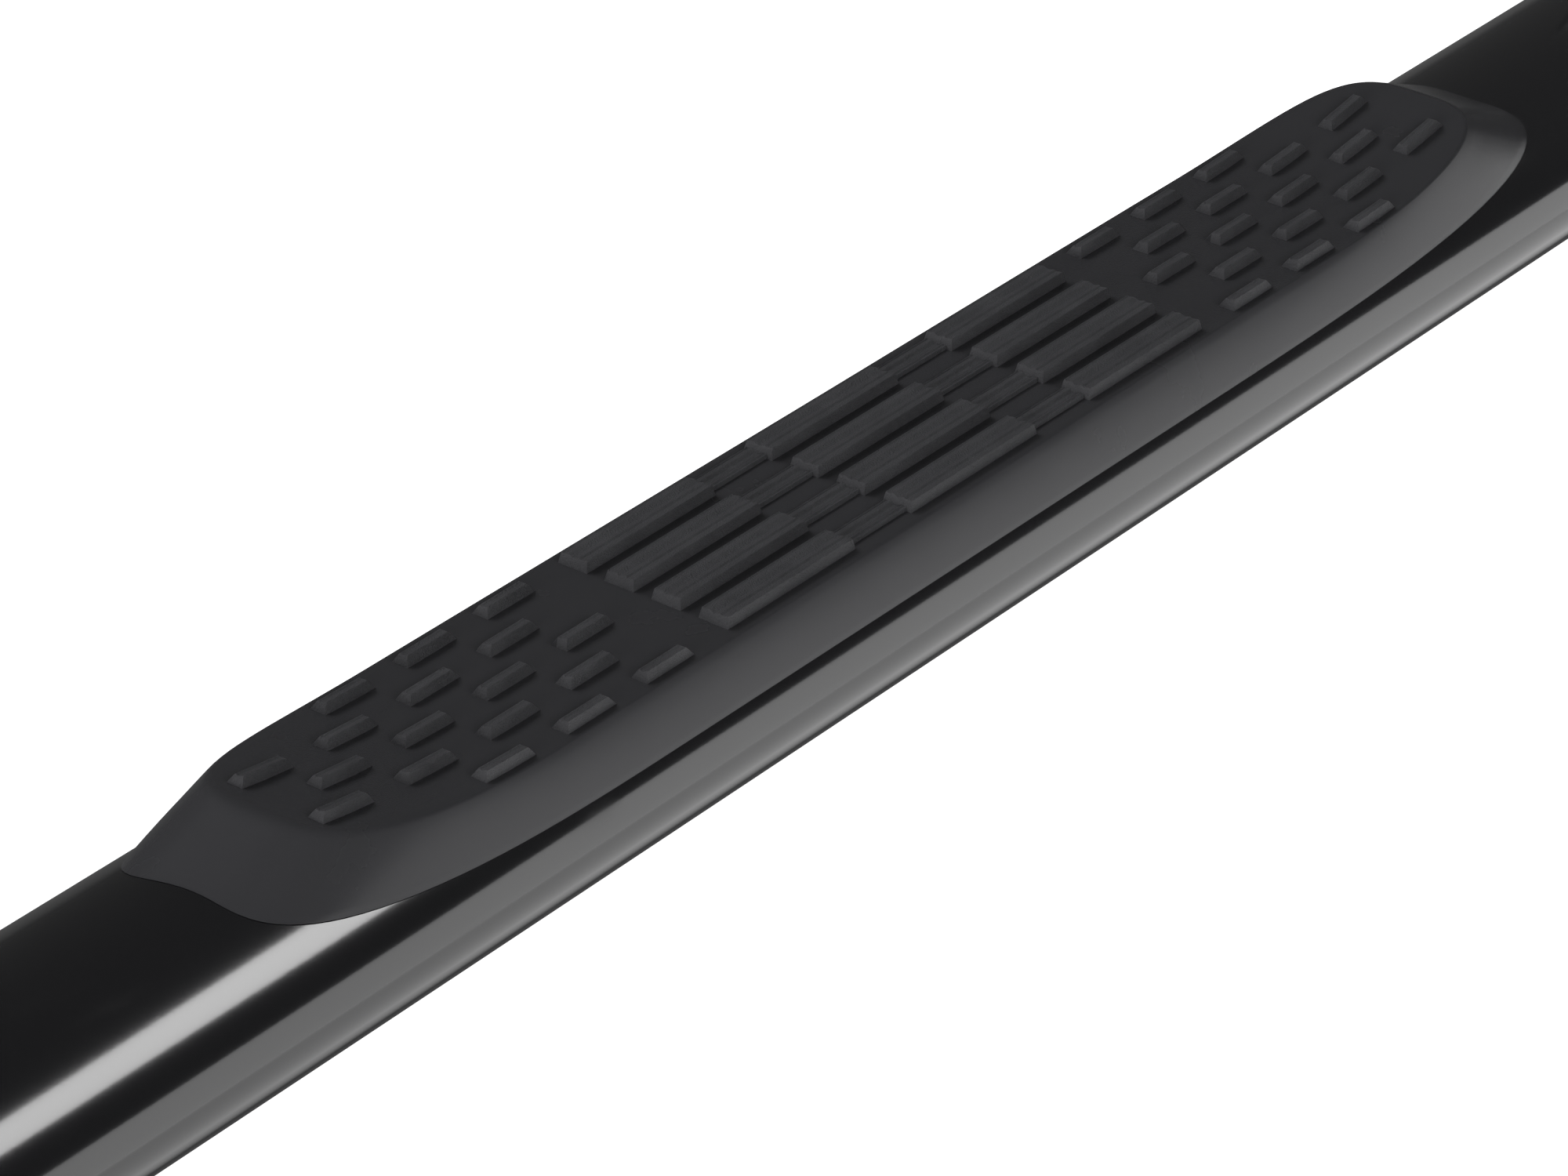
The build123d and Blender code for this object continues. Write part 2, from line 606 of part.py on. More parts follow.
def hex_bolts(plane, places, length):
    """Bolts whose heads sit on the near side of the plane and whose shanks follow its normal."""
    with BuildPart() as bolts:
        with BuildSketch(plane):
            with Locations(places):
                RegularPolygon(M8_ACROSS_FLATS / 2, 6, major_radius=False)
        extrude(amount=-M8_HEAD)
        with BuildSketch(plane):
            with Locations(places):
                Circle(M8_SHANK)
        extrude(amount=length)
        tips = bolts.faces().filter_by(GeomType.PLANE).filter_by(lambda f: abs(f.area - pi * M8_SHANK**2) < 1)
        chamfer(tips.edges(), length=TIP_CHAMFER)
    return bolts


lock_level = ARM_BOTTOM - WASHER
head_level = lock_level - LOCK_WASHER
save(rings(level(ARM_BOTTOM), FOOT_BOLTS, WASHER_RADIUS, WASHER_BORE, -WASHER), "tube_bolt_washers")
lock_rings = rings(level(lock_level), FOOT_BOLTS, LOCK_WASHER_RADIUS, LOCK_WASHER_BORE, -LOCK_WASHER)
save(lock_rings, "tube_bolt_lock_washers")
save(hex_bolts(level(head_level), FOOT_BOLTS, M8_BOLT_LENGTH), "tube_bolts")

HANGER_BOLTS = [(-centre, z) for _, centre in SIDES for z in HANGER_BOLT_LEVELS]
leg_face = ARM_REACH - PLATE
hanger_face = ARM_REACH + PLATE
head_face = leg_face - WASHER
nut_face = hanger_face + WASHER + LOCK_WASHER
near_rings = rings(upright(leg_face), HANGER_BOLTS, WASHER_RADIUS, WASHER_BORE, -WASHER)
save(near_rings, "hanger_bolt_washers")
far_rings = rings(upright(hanger_face), HANGER_BOLTS, WASHER_RADIUS, WASHER_BORE, WASHER)
save(far_rings, "hanger_nut_washers")
lock_plane = upright(hanger_face + WASHER)
lock_rings = rings(lock_plane, HANGER_BOLTS, LOCK_WASHER_RADIUS, LOCK_WASHER_BORE, LOCK_WASHER)
save(lock_rings, "hanger_lock_washers")
save(hex_bolts(upright(head_face), HANGER_BOLTS, HANGER_BOLT_LENGTH), "hanger_bolts")

with BuildPart() as hanger_nuts:
    with BuildSketch(upright(nut_face)):
        with Locations(HANGER_BOLTS):
            RegularPolygon(M8_ACROSS_FLATS / 2, 6, major_radius=False)
            Circle(M8_THREAD, mode=Mode.SUBTRACT)
    extrude(amount=M8_NUT)
save(hanger_nuts, "hanger_nuts")
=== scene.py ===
"""Running board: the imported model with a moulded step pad, a glossy oval tube and real finishes."""

import math

import bmesh
import bpy
from mathutils import Matrix, Vector


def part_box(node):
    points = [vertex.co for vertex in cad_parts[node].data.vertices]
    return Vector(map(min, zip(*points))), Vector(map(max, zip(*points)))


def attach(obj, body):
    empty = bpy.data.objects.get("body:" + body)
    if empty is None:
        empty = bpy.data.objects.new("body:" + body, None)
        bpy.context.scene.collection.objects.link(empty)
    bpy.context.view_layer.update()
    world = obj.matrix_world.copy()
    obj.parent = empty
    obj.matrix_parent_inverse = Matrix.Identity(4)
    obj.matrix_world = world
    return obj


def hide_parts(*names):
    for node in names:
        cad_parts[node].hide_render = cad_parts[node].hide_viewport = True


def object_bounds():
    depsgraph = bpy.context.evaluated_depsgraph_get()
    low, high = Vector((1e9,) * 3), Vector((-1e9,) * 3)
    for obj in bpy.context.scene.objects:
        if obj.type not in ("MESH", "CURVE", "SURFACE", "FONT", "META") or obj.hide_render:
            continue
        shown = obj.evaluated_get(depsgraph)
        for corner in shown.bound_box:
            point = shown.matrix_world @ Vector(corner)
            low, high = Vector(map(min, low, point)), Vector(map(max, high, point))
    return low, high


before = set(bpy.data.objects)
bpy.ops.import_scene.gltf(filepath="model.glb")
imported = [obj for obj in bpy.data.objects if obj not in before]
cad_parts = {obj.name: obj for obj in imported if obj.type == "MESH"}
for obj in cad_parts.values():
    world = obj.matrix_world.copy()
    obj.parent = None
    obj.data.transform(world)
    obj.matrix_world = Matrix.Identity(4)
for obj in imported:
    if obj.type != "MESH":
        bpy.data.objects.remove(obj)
cad_low, cad_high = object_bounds()

# ---- the frame, in millimetres from the middle of the tube's axis --------------------------
MM = 0.001
tube_low, tube_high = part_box("side_tube")
AXIS = (tube_low + tube_high) / 2
HALF_L, HALF_W, HALF_H = (tube_high - tube_low) / 2 / MM
TO_FRAME = Matrix.Translation(AXIS) @ Matrix.Scale(MM, 4)
TUBE_WALL = 2.0


def in_frame(x, y, z):
    """A place given in millimetres from the tube's axis, as the frame's metres."""
    return TO_FRAME @ Vector((x, y, z))


# ---- mesh tools ----------------------------------------------------------------------------
def mesh_from(rows, closed_columns=False):
    """Quads between neighbouring rows of points, and from the last row back to the first."""
    bm = bmesh.new()
    grid = [[bm.verts.new(point) for point in row] for row in rows]
    for lower, upper in zip(grid, grid[1:] + grid[:1]):
        last = len(lower) if closed_columns else len(lower) - 1
        for i in range(last):
            j = (i + 1) % len(lower)
            bm.faces.new((lower[i], lower[j], upper[j], upper[i]))
    return bm


WELD = 1e-4                 # points closer than this become one
FINE_WELD = 1e-5


def tidy_mesh(bm, merge=WELD):
    """Welds touching points, drops slivers and turns every face outwards."""
    bmesh.ops.remove_doubles(bm, verts=bm.verts, dist=merge)
    bmesh.ops.dissolve_degenerate(bm, edges=bm.edges, dist=merge)
    bmesh.ops.recalc_face_normals(bm, faces=bm.faces)


def new_object(name, bm):
    mesh = bpy.data.meshes.new(name)
    bm.to_mesh(mesh)
    bm.free()
    obj = bpy.data.objects.new(name, mesh)
    bpy.context.scene.collection.objects.link(obj)
    return obj


def combine(target, other, operation):
    """Adds or cuts away another closed mesh, which is used up."""
    cut = target.modifiers.new("combine", "BOOLEAN")
    cut.operation = operation
    cut.solver = "EXACT"
    cut.object = other
    bpy.context.view_layer.update()
    shaped = target.evaluated_get(bpy.context.evaluated_depsgraph_get())
    mesh = bpy.data.meshes.new_from_object(shaped)
    target.modifiers.clear()
    old = target.data
    target.data = mesh
    bpy.data.meshes.remove(old)
    bpy.data.objects.remove(other)


def smooth(obj, angle):
    """Smooth shading, with edges sharper than the angle kept sharp."""
    obj.data.shade_smooth()
    obj.data.set_sharp_from_angle(angle=math.radians(angle))


CORNER_STEPS = (0.0, 0.35, 0.65, 1.0)
MOST_OF_EDGE = 0.4          # a rounded corner uses no more than this much of either edge


def softened(points, cut):
    """An open outline with each inner corner replaced by a short curve."""
    soft = [points[0]]
    for before, corner, after in zip(points, points[1:], points[2:]):
        a, b, c = Vector(before), Vector(corner), Vector(after)
        reach = min(cut, MOST_OF_EDGE * (a - b).length, MOST_OF_EDGE * (c - b).length)
        start = b + (a - b).normalized() * reach
        end = b + (c - b).normalized() * reach
        for t in CORNER_STEPS:
            soft.append(tuple(start * (1 - t) ** 2 + b * (2 * t * (1 - t)) + end * t * t))
    soft.append(points[-1])
    return soft


# ---- step pad ------------------------------------------------------------------------------
TREAD_Z = HALF_H + 7.7
TREAD_FLAT = 200.0
TREAD_TIP_RADIUS = 490.0
FLANK_FOOT = 13.4
FLANK_HALF_WIDTH = 43.2
TREAD_HALF_WIDTH = 36.2
FLANK_CURVE = 1.35          # the sides draw in slowly at the foot and faster towards the tread
TREAD_SHIFT = -1.0          # the tread's middle line, from the tube's axis
LIP_LEVEL = 42.0            # height of the tread's tips
STRAIGHT_HIGH = 215.0       # half-length of the straight sides at that height
BLUNTNESS_HIGH = 3.4        # and superellipse power of the rounded ends
INBOARD_BLUNTNESS = 2.2     # added to the power at the foot of the inboard corners, which are squarer
# each end: reach from mid-length to the tube's crown, lean back for each millimetre of height,
# and the straight half-length and superellipse power at its foot
FRONT_END = (330.0, 2.2, 100.0, 3.4)
REAR_END = (313.0, 1.38, 150.0, 3.0)
PAD_WALL = 3.2
PAD_FLOOR = 3.5
SEAT_GAP = 0.05
CREASE = 1.3                # how far the tread's rounded edge reaches to either side of it
REAR_CREASE = 5.0           # the same at the rear tip, where the tread runs softly into the ramp
FOOT_ROUND = 0.5
HEART = 150.0               # the tread's faces fan out from two points this far from mid-length
END_STEPS = 72
SIDE_STEPS = 30
# where a column's points lie, as fractions of each stretch
CEILING_STEPS = (0.0, 0.3, 0.6, 0.85, 1.0)
INNER_WALL_STEPS = (0.35, 0.7, 1.0)
OUTER_WALL_STEPS = (0.12, 0.25, 0.4, 0.55, 0.7, 0.85)
TREAD_STEPS = (0.1, 0.25, 0.4, 0.55, 0.7, 0.85, 1.0)
FOOT_CURVE_STEPS = 3
EDGE_CURVE_STEPS = 5
LOWEST_FOOT = 2.0           # the heights between which the wall's foot and top are looked for
ABOVE_PAD = 60.0
PAD_SHARP_ANGLE = 34        # degrees


def tread_floor(x):
    """Height of the tread: flat in the middle, curving up towards its tips."""
    over = max(abs(x) - TREAD_FLAT, 0.0)
    return TREAD_Z + TREAD_TIP_RADIUS - math.sqrt(TREAD_TIP_RADIUS**2 - over**2)


def pad_outline():
    """Every column round the pad: fraction along the straight side, then direction at the rounded end."""
    turns = [math.radians(-90 + 180 * step / END_STEPS) for step in range(END_STEPS + 1)]
    sides = [1 - 2 * step / SIDE_STEPS for step in range(1, SIDE_STEPS)]
    front = [(1.0, math.cos(turn), math.sin(turn)) for turn in turns]
    inboard = [(side, 0.0, 1.0) for side in sides]
    rear = [(-1.0, -math.cos(turn), -math.sin(turn)) for turn in turns]
    outboard = [(-side, 0.0, -1.0) for side in sides]
    return front + inboard + rear + outboard


def pad_point(column, z, inset):
    """Where a column of the pad's wall is at a height."""
    side, ahead, aside = column
    reach, slope, straight_low, bluntness_low = FRONT_END if side > 0 else REAR_END
    rise = (z - FLANK_FOOT) / (LIP_LEVEL - FLANK_FOOT)
    straight = straight_low + (STRAIGHT_HIGH - straight_low) * rise
    power = bluntness_low + (BLUNTNESS_HIGH - bluntness_low) * rise
    if aside > 0:
        power += INBOARD_BLUNTNESS * (1 - min(max(rise, 0.0), 1.0))
    drop = (max(z, FLANK_FOOT) - FLANK_FOOT) / (TREAD_Z - FLANK_FOOT)
    half = FLANK_HALF_WIDTH - (FLANK_HALF_WIDTH - TREAD_HALF_WIDTH) * drop**FLANK_CURVE - inset
    shift = TREAD_SHIFT * (z - FLANK_FOOT) / (TREAD_Z - FLANK_FOOT)
    nose = reach - slope * (z - HALF_H) - inset - straight
    spread = (abs(ahead) ** power + abs(aside) ** power) ** (-1 / power)
    return Vector((side * straight + nose * spread * ahead, half * spread * aside + shift, z))


def solve(low, high, above):
    """The height between low and high at which above(height) turns positive."""
    for _ in range(40):
        middle = (low + high) / 2
        if above(middle) > 0:
            high = middle
        else:
            low = middle
    return (low + high) / 2


def foot_height(column, inset):
    """Where a column of the wall comes down onto the tube."""

    def outside(z):
        point = pad_point(column, z, inset)
        return (point.y / (HALF_W + SEAT_GAP)) ** 2 + (z / (HALF_H + SEAT_GAP)) ** 2 - 1

    return solve(LOWEST_FOOT, HALF_H + 2, outside)


def crease_height(column, inset, lift):
    """Where a column of the wall meets the tread, or a surface lifted above or below it."""
    return solve(HALF_H, ABOVE_PAD, lambda z: z - lift - tread_floor(pad_point(column, z, inset).x))


def curve_through(start, corner, end, steps):
    """A short curve that leaves start and reaches end along the lines to the corner."""
    return [
        start * (1 - t) ** 2 + corner * (2 * t * (1 - t)) + end * t * t
        for t in [step / steps for step in range(steps + 1)]
    ]


def pad_column(column):
    """One column of points up the pad: under the tread, down inside, out under the wall, up and over."""
    heart = Vector((column[0] * HEART, TREAD_SHIFT, 0))
    points = []
    # inner side: from the ceiling's middle line out to the wall and down to the tube
    inner_foot = foot_height(column, PAD_WALL)
    inner_top = crease_height(column, PAD_WALL, -PAD_FLOOR)
    corner = pad_point(column, inner_top, PAD_WALL)
    for t in CEILING_STEPS:
        spot = heart.lerp(corner, t)
        points.append(Vector((spot.x, spot.y, tread_floor(spot.x) - PAD_FLOOR)))
    for t in INNER_WALL_STEPS:
        points.append(pad_point(column, inner_top + (inner_foot - inner_top) * t, PAD_WALL))
    # outer side: up from the tube to the tread's edge
    foot = foot_height(column, 0.0)
    top = crease_height(column, 0.0, 0.0)
    corner = pad_point(column, top, 0.0)
    foot_point = pad_point(column, foot, 0.0)
    under = points[-1].lerp(foot_point, 1 - FOOT_ROUND / PAD_WALL)
    above_foot = pad_point(column, foot + FOOT_ROUND, 0.0)
    points += curve_through(under, foot_point, above_foot, FOOT_CURVE_STEPS)
    crease = CREASE + (REAR_CREASE - CREASE) * max(-column[1], 0.0) ** 4
    below_edge = pad_point(column, top - crease, 0.0)
    below_edge = corner + (below_edge - corner).normalized() * crease
    for t in OUTER_WALL_STEPS:
        points.append(pad_point(column, foot + FOOT_ROUND + (below_edge.z - foot - FOOT_ROUND) * t, 0.0))
    inward = (heart - corner) * Vector((1, 1, 0))
    over_edge = corner + inward.normalized() * crease
    over_edge.z = tread_floor(over_edge.x)
    points += curve_through(below_edge, corner, over_edge, EDGE_CURVE_STEPS)
    for t in TREAD_STEPS:
        spot = over_edge.lerp(heart, t)
        points.append(Vector((spot.x, spot.y, tread_floor(spot.x))))
    return points


def pad_shell():
    columns = [pad_column(column) for column in pad_outline()]
    bm = mesh_from(columns)
    tidy_mesh(bm)
    return new_object("step_pad_shell", bm)


# ---- tread pattern -------------------------------------------------------------------------
ROW_PITCH = 17.76
ROWS = [ROW_PITCH * (row - 1.5) for row in range(4)]
RIB_SPANS = ((-120.8, -59.2), (-32.2, 32.2), (59.2, 120.8))
LINK_SPANS = ((-59.2, -32.2), (32.2, 59.2))
RIB_HALF = 5.8
BLOCK_HALF = 3.6
BLOCK_LENGTH = 23.0
BLOCK_PITCH = 35.5
# each row of blocks: distance inboard, the first block's distance from mid-length, number at each end
BLOCK_ROWS = ((0.0, 148.0, 4), (30.0, 148.0, 3), (-30.0, 148.0, 3), (15.0, 164.0, 4), (-15.0, 164.0, 4))
# across each raised piece: inboard distance from its outboard foot, and height
RIB_PROFILE = (
    (0, 0), (0.8, 3.7), (3.4, 3.2), (3.9, 3.7), (6.2, 2.9), (8.0, 3.7), (10.2, 3.2), (10.7, 3.7), (11.6, 0),
)
LINK_PROFILE = (
    (2.2, 0), (2.5, 1.5), (3.3, 1.0), (3.9, 1.6), (5.2, 0.5), (7.0, 0.5), (8.0, 1.4), (9.2, 1.4), (10.0, 0.8),
    (10.4, 1.5), (10.9, 0),
)
BLOCK_PROFILE = ((0, 0), (0.8, 3.7), (3.2, 2.9), (4.0, 3.4), (7.2, 0))
NEAR_LEAN = 0.3             # how far each end leans in for each millimetre of height
FAR_LEAN = 1.1
SUNK = 1.2                  # raised pieces start this far below the tread floor
END_ROUND = 0.3
PROFILE_ROUND = 0.35
LINK_OVERLAP = 2            # how much longer a link is than the gap it bridges
RAISED_FROM = 0.3           # faces this far above the tread count as raised


def raised_piece(bm, profile, half, centre, length, near_lean, far_lean):
    """A closed bar along X with the given cross-section and leaning ends, lying on the tread floor."""
    x, y = centre
    start, end = -length / 2, length / 2
    section = softened([(profile[0][0], -SUNK), *profile[1:-1], (profile[-1][0], -SUNK)], PROFILE_ROUND)
    # each station: how far along, where its ends meet the tread, and how much of the rounding it has
    root_near = [(start, across, -SUNK) for across, _ in section]
    root_far = [(end, across, -SUNK) for across, _ in section]
    stations = [root_near]
    for foot, lean, facing in ((start, near_lean, 1), (end, -far_lean, -1)):
        rim, top = [], []
        for across, height in section:
            lift = max(height, 0.0)
            rim.append((foot + lean * lift, across, height - END_ROUND * min(lift, 1.0)))
            top.append((foot + lean * lift + facing * END_ROUND, across, height))
        stations += [rim, top] if facing > 0 else [top, rim]
    stations.append(root_far)
    slope = math.asin(max(abs(x) - TREAD_FLAT, 0.0) / TREAD_TIP_RADIUS) * math.copysign(1, x)
    place = Matrix.Translation((x, y - half, tread_floor(x))) @ Matrix.Rotation(-slope, 4, "Y")
    grid = [[bm.verts.new(place @ Vector(point)) for point in station] for station in stations]
    for near, far in zip(grid, grid[1:]):
        for i in range(len(near) - 1):
            bm.faces.new((near[i], near[i + 1], far[i + 1], far[i]))
    underside = [line[0] for line in grid] + grid[-1][1:-1] + [line[-1] for line in reversed(grid)]
    bm.faces.new(underside + grid[0][-2:0:-1])


def block_places():
    """Centres of the short blocks at both ends of the tread."""
    return [
        (end * (start + BLOCK_PITCH * step), y + TREAD_SHIFT)
        for y, start, count in BLOCK_ROWS
        for step in range(count)
        for end in (-1, 1)
    ]


def raised_pattern():
    """Ribs and blocks in one mesh, and the low links that run between the ribs in another."""
    high, low = bmesh.new(), bmesh.new()
    for start, end in RIB_SPANS:
        for y in ROWS:
            centre = ((start + end) / 2, y + TREAD_SHIFT)
            raised_piece(high, RIB_PROFILE, RIB_HALF, centre, end - start, NEAR_LEAN, NEAR_LEAN)
    for centre in block_places():
        raised_piece(high, BLOCK_PROFILE, BLOCK_HALF, centre, BLOCK_LENGTH, NEAR_LEAN, FAR_LEAN)
    for start, end in LINK_SPANS:
        for y in ROWS:
            centre = ((start + end) / 2, y + TREAD_SHIFT)
            raised_piece(low, LINK_PROFILE, RIB_HALF, centre, end - start + LINK_OVERLAP, 0.0, 0.0)
    for bm in (high, low):
        tidy_mesh(bm, FINE_WELD)
    return new_object("ribs_and_blocks", high), new_object("links", low)


def mark_raised_faces(mesh):
    """Notes which faces belong to the raised pattern, for the coarser grain and the painted lighter colour
    there.
    """
    raised = mesh.attributes.new("raised", "FLOAT", "FACE")
    for face in mesh.polygons:
        centre = face.center
        raised.data[face.index].value = float(centre.z > tread_floor(centre.x) + RAISED_FROM)


def step_pad():
    pad = pad_shell()
    ribs, links = raised_pattern()
    combine(pad, ribs, "UNION")
    combine(pad, links, "UNION")
    mark_raised_faces(pad.data)
    pad.name = "moulded_step_pad"
    pad.data.name = "moulded_step_pad"
    pad.data.transform(TO_FRAME)
    smooth(pad, PAD_SHARP_ANGLE)
    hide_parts("step_pad")
    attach(pad, "root")
    return pad


# ---- oval tube -----------------------------------------------------------------------------
TUBE_SIDES = 160
HOLE_SIDES = 32
END_CHAMFER = 0.4
CLIP_SPACING = 98.0
CLIP_COUNT = 6
CLIP_X = [CLIP_SPACING * (step - (CLIP_COUNT - 1) / 2) for step in range(CLIP_COUNT)]
BRACKET_X = 640.0
FOOT_BOLT_X = 18.0
BOLT_X = [side * BRACKET_X + shift for side in (-1, 1) for shift in (-FOOT_BOLT_X, FOOT_BOLT_X)]
CAP_SCREW_X = HALF_L - 12.0
DRAIN_X = HALF_L - 60.0
CUTTER_SPARE = 5            # how far a hole's cutter sticks out past the wall
WALL_FACING = 0.97          # faces closer to the oval's own direction than this are walls
# each row of holes: places along the tube, radius, and whether it goes through the crown or the underside
TUBE_HOLES = (
    (CLIP_X, 4.6, 1),
    (BOLT_X, 4.5, -1),
    ((-CAP_SCREW_X, CAP_SCREW_X), 2.2, -1),
    ((-DRAIN_X, DRAIN_X), 5.0, -1),
)


def hole_cutters(places, radius, side):
    """Upright round cutters through the tube's upper or lower wall."""
    bm = bmesh.new()
    depth = HALF_H + CUTTER_SPARE
    for x in places:
        place = Matrix.Translation((x, 0, side * depth / 2))
        bmesh.ops.create_cone(
            bm, cap_ends=True, segments=HOLE_SIDES, radius1=radius, radius2=radius, depth=depth, matrix=place
        )
    return new_object("cutter", bm)


def oval_tube():
    rings = []
    for x, inset in (
        (-HALF_L, TUBE_WALL), (-HALF_L, END_CHAMFER), (-HALF_L + END_CHAMFER, 0.0),
        (HALF_L - END_CHAMFER, 0.0), (HALF_L, END_CHAMFER), (HALF_L, TUBE_WALL),
    ):
        turns = [2 * math.pi * side / TUBE_SIDES for side in range(TUBE_SIDES)]
        rings.append([(x, (HALF_W - inset) * math.cos(t), (HALF_H - inset) * math.sin(t)) for t in turns])
    bm = mesh_from(rings, closed_columns=True)
    tidy_mesh(bm)
    tube = new_object("oval_tube", bm)
    for places, radius, side in TUBE_HOLES:
        combine(tube, hole_cutters(places, radius, side), "DIFFERENCE")
    shade_tube(tube.data)
    tube.data.transform(TO_FRAME)
    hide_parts("side_tube")
    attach(tube, "root")
    return tube


def shade_tube(mesh):
    """Gives the walls the exact oval's normals, so that reflections run straight along the tube."""
    mesh.shade_smooth()
    normals = []
    for face in mesh.polygons:
        for corner in face.loop_indices:
            spot = mesh.vertices[mesh.loops[corner].vertex_index].co
            exact = Vector((0, spot.y / HALF_W**2, spot.z / HALF_H**2)).normalized()
            facing = face.normal.dot(exact)
            if abs(facing) > WALL_FACING:
                normals.append(exact * math.copysign(1, facing))
            else:
                normals.append(face.normal)
    mesh.normals_split_custom_set(normals)


# ---- materials -----------------------------------------------------------------------------
def material(name, colour, roughness, metallic=0.0, coat=0.0, coat_roughness=0.1):
    """A principled surface, with its node tree and shader to build on."""
    made = bpy.data.materials.new(name)
    made.use_nodes = True
    tree = made.node_tree
    shader = tree.nodes["Principled BSDF"]
    shader.inputs["Base Color"].default_value = (*colour, 1)
    shader.inputs["Roughness"].default_value = roughness
    shader.inputs["Metallic"].default_value = metallic
    shader.inputs["Coat Weight"].default_value = coat
    shader.inputs["Coat Roughness"].default_value = coat_roughness
    return made, tree, shader


def add_noise(tree, scale, detail=4.0, stretch=(1, 1, 1)):
    """Noise in the object's own metres; scale is features per metre."""
    where = tree.nodes.new("ShaderNodeTexCoord")
    mapping = tree.nodes.new("ShaderNodeMapping")
    mapping.inputs["Scale"].default_value = stretch
    noise = tree.nodes.new("ShaderNodeTexNoise")
    noise.inputs["Scale"].default_value = scale
    noise.inputs["Detail"].default_value = detail
    tree.links.new(where.outputs["Object"], mapping.inputs["Vector"])
    tree.links.new(mapping.outputs["Vector"], noise.inputs["Vector"])
    return noise.outputs["Fac"]


def add_range(tree, value, low, high, out_low, out_high):
    """Stretches a value from one range to another, without running past either end."""
    node = tree.nodes.new("ShaderNodeMapRange")
    for socket, number in (("From Min", low), ("From Max", high), ("To Min", out_low), ("To Max", out_high)):
        node.inputs[socket].default_value = number
    tree.links.new(value, node.inputs["Value"])
    return node.outputs["Result"]


def add_mix(tree, factor, first, second):
    node = tree.nodes.new("ShaderNodeMix")
    node.data_type = "RGBA"
    tree.links.new(factor, node.inputs["Factor"])
    node.inputs["A"].default_value = (*first, 1)
    node.inputs["B"].default_value = (*second, 1)
    return node.outputs["Result"]


def add_product(tree, first, second):
    node = tree.nodes.new("ShaderNodeMath")
    node.operation = "MULTIPLY"
    tree.links.new(first, node.inputs[0])
    tree.links.new(second, node.inputs[1])
    return node.outputs["Value"]


def add_bump(tree, height, strength, distance, under=None):
    """A surface normal bent by a height, on top of another bump's normal if one is given."""
    node = tree.nodes.new("ShaderNodeBump")
    node.inputs["Strength"].default_value = strength
    node.inputs["Distance"].default_value = distance
    tree.links.new(height, node.inputs["Height"])
    if under is not None:
        tree.links.new(under, node.inputs["Normal"])
    return node.outputs["Normal"]


def roughen(tree, shader, scale, detail, strength, distance):
    """One layer of grain over the whole surface."""
    normal = add_bump(tree, add_noise(tree, scale, detail), strength, distance)
    tree.links.new(normal, shader.inputs["Normal"])


def pad_plastic():
    """Moulded black plastic: satin skirt and tread, and rougher, pebbled ribs and blocks painted a lighter
    grey as painted light, with a random tone.
    """
    made, tree, shader = material("pad_plastic", (0.03, 0.03, 0.032), 0.5)
    shader.inputs["Specular IOR Level"].default_value = 0.25
    raised = tree.nodes.new("ShaderNodeAttribute")
    raised.attribute_name = "raised"
    tone = add_range(tree, add_noise(tree, 60), 0.3, 0.7, 0.6, 1)
    painted_light_and_tone = add_product(tree, tone, raised.outputs["Fac"])
    # painted light: raised faces get a lighter colour than the tread, varied by a random tone
    colour = add_mix(tree, painted_light_and_tone, (0.026, 0.026, 0.028), (0.048, 0.048, 0.051))
    tree.links.new(colour, shader.inputs["Base Color"])
    uneven = add_range(tree, add_noise(tree, 35), 0.3, 0.7, 0.22, 0.28)
    rougher = add_range(tree, raised.outputs["Fac"], 0, 1, 1.0, 2.6)
    tree.links.new(add_product(tree, uneven, rougher), shader.inputs["Roughness"])
    coarse = add_product(tree, add_noise(tree, 1700, 2.0), raised.outputs["Fac"])
    fine = add_bump(tree, add_noise(tree, 2600, 3.0), 0.2, 0.0001)
    pebbles = add_bump(tree, coarse, 0.8, 0.0005, fine)
    tree.links.new(pebbles, shader.inputs["Normal"])
    return made


def tube_coat():
    """Gloss black powder coat with a faint orange peel and a few dull scuffs."""
    made, tree, shader = material("tube_coat", (0.004, 0.004, 0.0045), 0.16, coat=0.5, coat_roughness=0.09)
    scuffs = add_range(tree, add_noise(tree, 40, 6.0, (0.3, 1, 1)), 0.62, 0.75, 0.14, 0.3)
    tree.links.new(scuffs, shader.inputs["Roughness"])
    roughen(tree, shader, 400, 2.0, 0.02, 0.0005)
    return made


def bracket_coat():
    """Satin black coat on steel plate, rubbed a little brown-grey in places."""
    made, tree, shader = material("bracket_coat", (0.012, 0.012, 0.013), 0.4)
    worn = add_range(tree, add_noise(tree, 90, 8.0), 0.55, 0.72, 0, 1)
    colour = add_mix(tree, worn, (0.011, 0.011, 0.012), (0.024, 0.023, 0.022))
    tree.links.new(colour, shader.inputs["Base Color"])
    tree.links.new(add_range(tree, add_noise(tree, 50), 0.3, 0.7, 0.34, 0.48), shader.inputs["Roughness"])
    roughen(tree, shader, 900, 3.0, 0.15, 0.0003)
    return made


def cap_plastic():
    made, tree, shader = material("cap_plastic", (0.018, 0.018, 0.019), 0.5)
    tree.links.new(add_range(tree, add_noise(tree, 60), 0.3, 0.7, 0.42, 0.56), shader.inputs["Roughness"])
    roughen(tree, shader, 1800, 3.0, 0.3, 0.0002)
    return made


def saddle_rubber():
    made, tree, shader = material("saddle_rubber", (0.014, 0.014, 0.014), 0.8)
    tree.links.new(add_range(tree, add_noise(tree, 120), 0.3, 0.7, 0.7, 0.9), shader.inputs["Roughness"])
    roughen(tree, shader, 1200, 3.0, 0.3, 0.0003)
    return made


